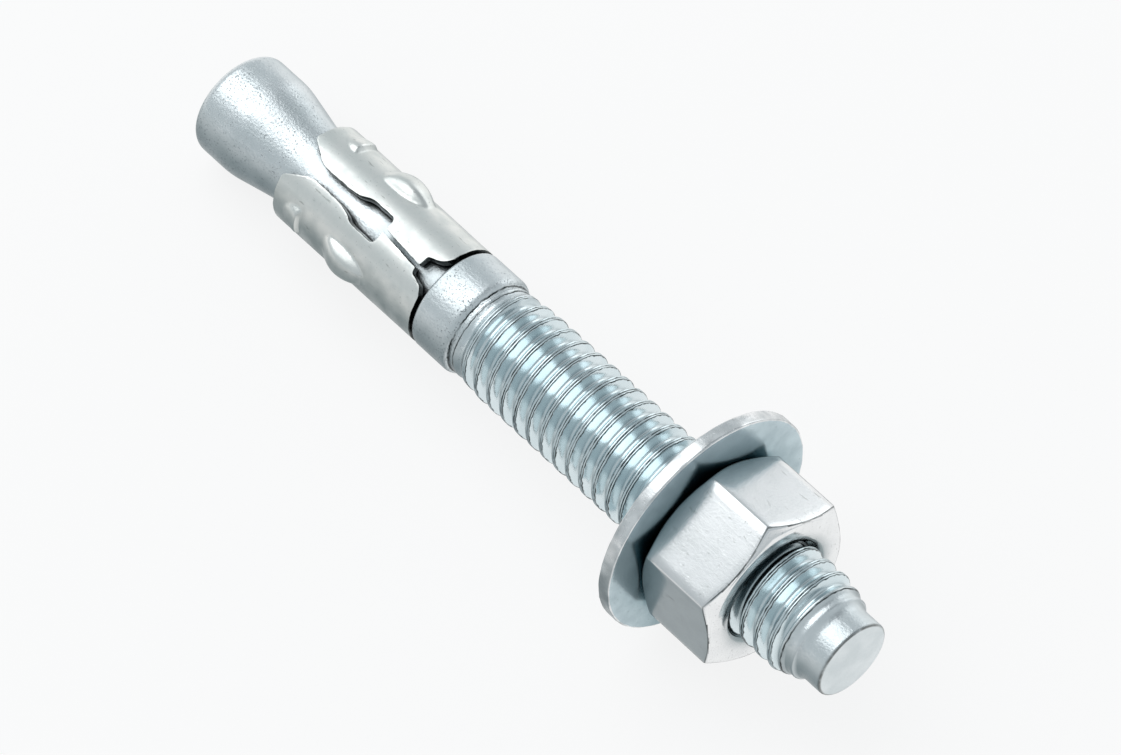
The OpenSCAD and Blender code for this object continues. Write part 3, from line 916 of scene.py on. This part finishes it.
dress(build_stud(), "stud", "stud", stud_zinc)
dress(build_clip(), "clip", "expansion_clip", clip_zinc, sheared)
dress(build_washer(), "washer", "washer", washer_zinc, rim_zinc)
dress(build_nut(), "nut", "hex_nut", nut_zinc, nut_edge_shade)

# Studio
bpy.ops.mesh.primitive_plane_add(size=4, location=(0, 0, 0))
floor = bpy.context.object
floor.name = "floor"
floor.data.materials.append(floor_material())


def softbox(name, towards, distance, size, radiance, tint=(1, 1, 1)):
    """A soft rectangular light that looks at the object from a direction; radiance 1 mirrors as white."""
    light = bpy.data.lights.new(name, "AREA")
    light.shape = "RECTANGLE"
    light.size, light.size_y = size
    light.energy = math.pi * size[0] * size[1] * radiance
    light.color = tint
    made = bpy.data.objects.new(name, light)
    bpy.context.scene.collection.objects.link(made)
    direction = Vector(towards).normalized()
    made.location = Vector((0, 0, 0.01)) + direction * distance
    made.rotation_mode = "QUATERNION"
    made.rotation_quaternion = (-direction).to_track_quat("-Z", "Y")
    return made


softbox("key", (-0.53, -0.07, 0.85), 0.6, (0.60, 0.56), 1.32)
softbox("right", (-0.05, 0.95, 0.18), 0.6, (0.42, 0.22), 0.90)

WORLD_TOP = (0.52, 0.565, 0.59)
WORLD_DARK = (0.27, 0.30, 0.32)
DARK = (0.05, 0.62, 0.78)


def soft_world():
    """A plain surround with one soft darker patch."""
    world = bpy.data.worlds.new("soft surround")
    bpy.context.scene.world = world
    world.use_nodes = True
    tree = world.node_tree
    tree.nodes.clear()
    out = tree.nodes.new("ShaderNodeOutputWorld")
    around = tree.nodes.new("ShaderNodeBackground")
    coordinates = tree.nodes.new("ShaderNodeTexCoord")
    side = tree.nodes.new("ShaderNodeVectorMath")
    side.operation = "DOT_PRODUCT"
    side.inputs[1].default_value = DARK
    tree.links.new(coordinates.outputs["Generated"], side.inputs[0])
    share = ranged(tree, side.outputs["Value"], 0.87, 0.97, 0.0, 1.0)
    tree.links.new(mix_colour(tree, share, WORLD_TOP, WORLD_DARK), around.inputs["Color"])
    tree.links.new(around.outputs["Background"], out.inputs["Surface"])


soft_world()

# Camera at the photograph's viewing angle
FOCAL_PX, PHOTO_WIDTH, PHOTO_HEIGHT = 7000.0, 1121, 755
SENSOR = 36.0
LOOK = Vector((0.3725, -0.3308, 0.8671)).normalized()
RIGHT = Vector((0.6640, 0.7477, 0)).normalized()
UP = LOOK.cross(RIGHT).normalized()
SEEN_STATION = 42.7
SEEN_RIGHT, SEEN_DOWN, SEEN_DEPTH = 1.349, 2.626, 560.4
seen = ORIGIN + AXIS * SEEN_STATION
eye = seen - RIGHT * SEEN_RIGHT + UP * SEEN_DOWN + LOOK * SEEN_DEPTH
camera_data = bpy.data.cameras.new("camera")
camera = bpy.data.objects.new("camera", camera_data)
bpy.context.scene.collection.objects.link(camera)
camera_data.sensor_width = SENSOR
camera_data.lens = SENSOR * FOCAL_PX / PHOTO_WIDTH
camera_data.clip_start, camera_data.clip_end = 0.01, 20
camera.matrix_world = Matrix(
    (
        (RIGHT.x, UP.x, LOOK.x, eye.x * MM),
        (RIGHT.y, UP.y, LOOK.y, eye.y * MM),
        (RIGHT.z, UP.z, LOOK.z, eye.z * MM),
        (0, 0, 0, 1),
    )
)
scene = bpy.context.scene
scene.camera = camera
scene.render.resolution_x, scene.render.resolution_y = PHOTO_WIDTH, PHOTO_HEIGHT
scene.view_settings.view_transform = "Standard"
